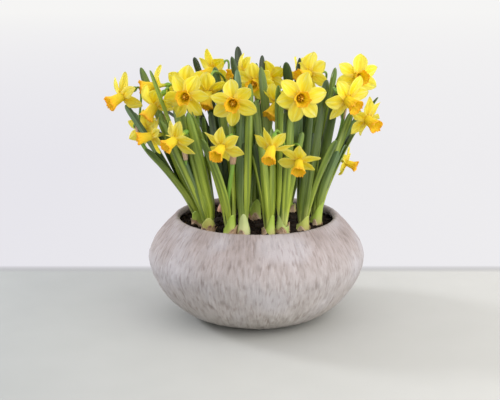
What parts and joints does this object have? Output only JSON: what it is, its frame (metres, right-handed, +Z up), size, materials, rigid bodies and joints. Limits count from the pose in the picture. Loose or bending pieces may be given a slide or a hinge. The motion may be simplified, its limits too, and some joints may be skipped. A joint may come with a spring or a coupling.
{
  "type": "potted tete-a-tete daffodil in a planter bowl",
  "caption": "Low round combed planter bowl of small yellow daffodils in flower, with bulbs, soil, strap leaves and forked stems.",
  "frame": {"origin": "middle of the bowl's flat foot, on the surface that it stands on", "axes": "+Z up; -Y towards the front, where most of the flowers face; +X to the right seen from the front"},
  "size_m": [0.3437, 0.28, 0.3411],
  "materials": {
    "bowl": "matte",
    "soil": "matte",
    "bulb": "satin",
    "leaf": "satin",
    "stem": "satin",
    "petal": "satin"
  },
  "bodies": {
    "root": {"planter_bowl": "bowl", "potting_soil": "soil", "bulb_01": "bulb", "bulb_02": "bulb", "bulb_03": "bulb", "bulb_04": "bulb", "bulb_05": "bulb", "bulb_06": "bulb", "bulb_07": "bulb", "bulb_08": "bulb", "bulb_09": "bulb", "flower_01": "petal", "flower_02": "petal", "flower_03": "petal", "flower_04": "petal", "flower_05": "petal", "flower_06": "petal", "flower_07": "petal", "flower_08": "petal", "flower_09": "petal", "flower_10": "petal", "flower_11": "petal", "flower_12": "petal", "flower_13": "petal", "flower_14": "petal", "flower_15": "petal", "flower_16": "petal", "flower_17": "petal", "flower_18": "petal", "flower_19": "petal", "flower_20": "petal", "flower_21": "petal", "flower_22": "petal", "flower_23": "petal", "flower_24": "petal", "flower_25": "petal", "stem_01": "stem", "stem_02": "stem", "stem_03": "stem", "stem_04": "stem", "stem_05": "stem", "stem_06": "stem", "stem_07": "stem", "stem_08": "stem", "stem_09": "stem", "stem_10": "stem", "stem_11": "stem", "stem_12": "stem", "stem_13": "stem", "leaves_01": "leaf", "leaves_02": "leaf", "leaves_03": "leaf", "leaves_04": "leaf", "leaves_05": "leaf", "leaves_06": "leaf", "leaves_07": "leaf", "leaves_08": "leaf", "leaves_09": "leaf", "leaves_10": "leaf", "leaves_11": "leaf"}
  },
  "joints": []
}
